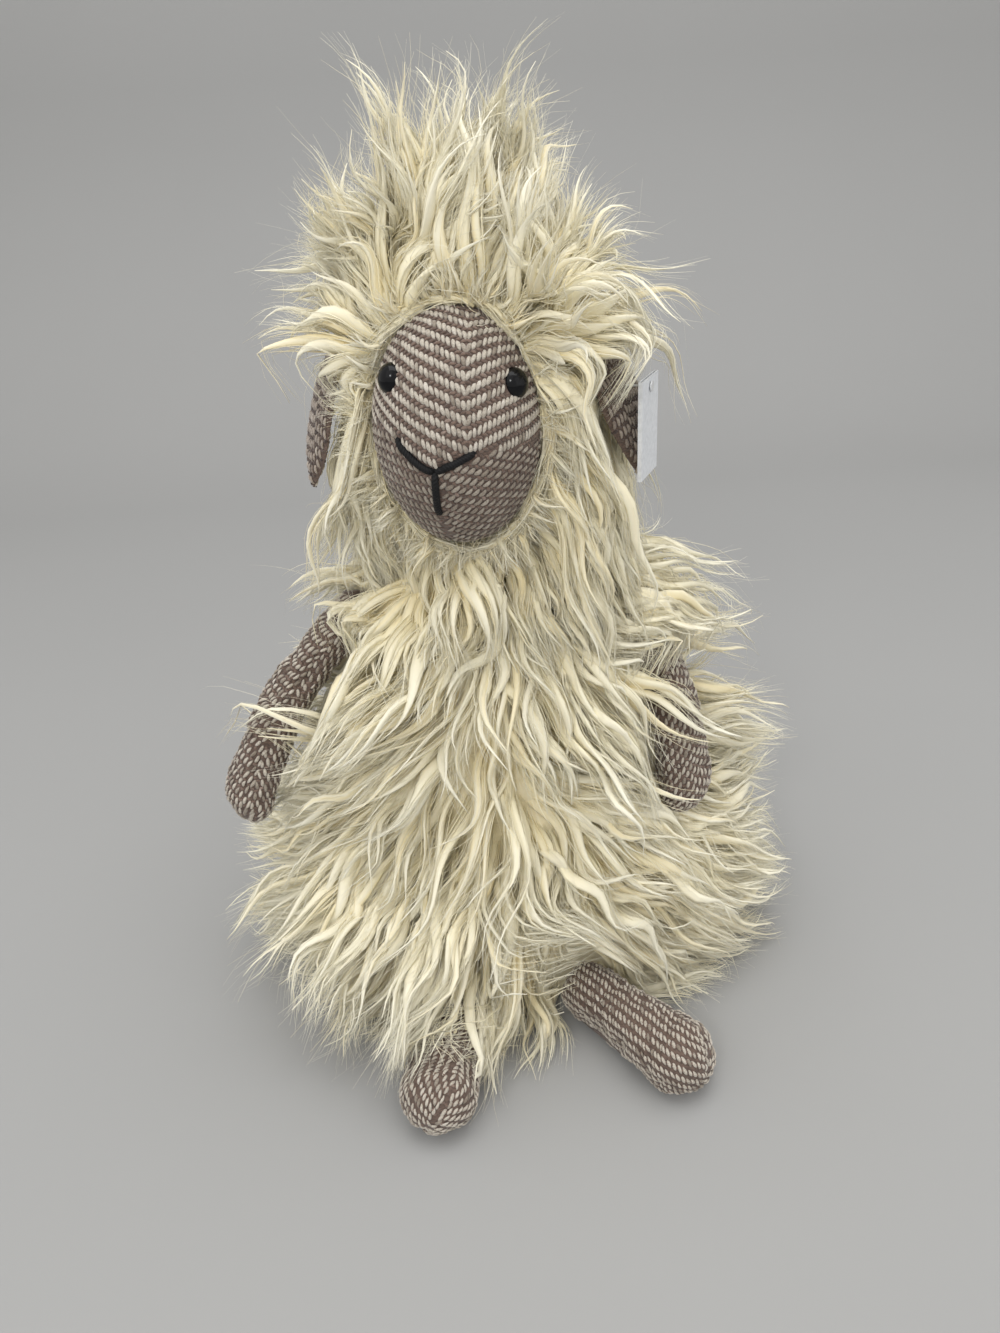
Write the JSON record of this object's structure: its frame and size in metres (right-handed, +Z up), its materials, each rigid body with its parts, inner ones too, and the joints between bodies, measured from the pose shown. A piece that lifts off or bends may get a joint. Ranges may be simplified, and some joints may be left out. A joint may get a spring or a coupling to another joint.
{
  "type": "plush sheep",
  "caption": "Sitting plush sheep with a long-haired body and head, a woven face, drooping ears, and floppy woven arms and legs.",
  "frame": {"origin": "middle of the flat seat, on the surface the toy sits on", "axes": "+Z up; the sheep faces -Y; its left side is at +X"},
  "size_m": [0.276, 0.2558, 0.4399],
  "materials": {
    "ivory_pile": "matte",
    "woven_tweed": "matte",
    "ear_tweed": "matte",
    "polyester_fibre": "matte",
    "pouch_cloth": "matte",
    "plastic_beans": "satin",
    "black_plastic": "gloss",
    "washer_nylon": "satin",
    "fastener_nylon": "satin",
    "black_thread": "matte",
    "tag_paper": "satin"
  },
  "bodies": {
    "body": {"body_fur_front": "ivory_pile", "body_fur_back": "ivory_pile", "body_base_panel": "ivory_pile", "body_stuffing": "polyester_fibre", "bean_pouch": "pouch_cloth", "bean_fill": "plastic_beans"},
    "neck": {"neck_stuffing": "polyester_fibre"},
    "head": {"head_fur_left": "ivory_pile", "head_fur_right": "ivory_pile", "face_panel_left": "woven_tweed", "face_panel_right": "woven_tweed", "head_stuffing": "polyester_fibre", "eye_left": "black_plastic", "eye_right": "black_plastic", "eye_washer_left": "washer_nylon", "eye_washer_right": "washer_nylon", "mouth_stitch_left": "black_thread", "mouth_stitch_right": "black_thread", "mouth_stitch_center": "black_thread"},
    "ear_left": {"ear_left_outer": "ear_tweed", "ear_left_lining": "ear_tweed", "tag_fastener": "fastener_nylon"},
    "ear_right": {"ear_right_outer": "ear_tweed", "ear_right_lining": "ear_tweed"},
    "tag": {"swing_tag": "tag_paper"},
    "arm_left": {"arm_left_cover": "woven_tweed", "arm_left_stuffing": "polyester_fibre"},
    "arm_right": {"arm_right_cover": "woven_tweed", "arm_right_stuffing": "polyester_fibre"},
    "leg_left": {"leg_left_cover": "woven_tweed", "leg_left_stuffing": "polyester_fibre"},
    "leg_right": {"leg_right_cover": "woven_tweed", "leg_right_stuffing": "polyester_fibre"}
  },
  "joints": [
    {"name": "neck_turn", "type": "hinge", "parent": "body", "child": "neck", "pos_m": [-0.008, -0.008, 0.25], "axis": [0, 0, 1], "range_deg": [-23, 47]},
    {"name": "head_nod", "type": "hinge", "parent": "neck", "child": "head", "pos_m": [-0.008, -0.008, 0.25], "axis": [0.9877, -0.1564, 0], "range_deg": [-20, 20]},
    {"name": "arm_left_lift", "type": "hinge", "parent": "body", "child": "arm_left", "pos_m": [0.05841, -0.00685, 0.214], "axis": [-0.6947, -0.7193, 0], "range_deg": [0, 70]},
    {"name": "arm_right_lift", "type": "hinge", "parent": "body", "child": "arm_right", "pos_m": [-0.0721, -0.00685, 0.214], "axis": [-0.5, 0.866, 0], "range_deg": [0, 70]},
    {"name": "leg_left_swing", "type": "hinge", "parent": "body", "child": "leg_left", "pos_m": [0.031, -0.0695, 0.017], "axis": [-0.7547, -0.6561, 0], "range_deg": [-60, 35]},
    {"name": "leg_right_swing", "type": "hinge", "parent": "body", "child": "leg_right", "pos_m": [-0.031, -0.0695, 0.017], "axis": [-0.9781, 0.2079, 0], "range_deg": [-60, 35]},
    {"name": "ear_left_lift", "type": "hinge", "parent": "head", "child": "ear_left", "pos_m": [0.04767, -0.02087, 0.34], "axis": [-0.5736, -0.8192, 0], "range_deg": [0, 60]},
    {"name": "ear_right_lift", "type": "hinge", "parent": "head", "child": "ear_right", "pos_m": [-0.06492, -0.00303, 0.34], "axis": [-0.2924, 0.9563, 0], "range_deg": [0, 60]},
    {"name": "tag_swing", "type": "hinge", "parent": "ear_left", "child": "tag", "pos_m": [0.05572, -0.0265, 0.32111], "axis": [0.9063, -0.4226, 0], "range_deg": [-60, 60]}
  ]
}
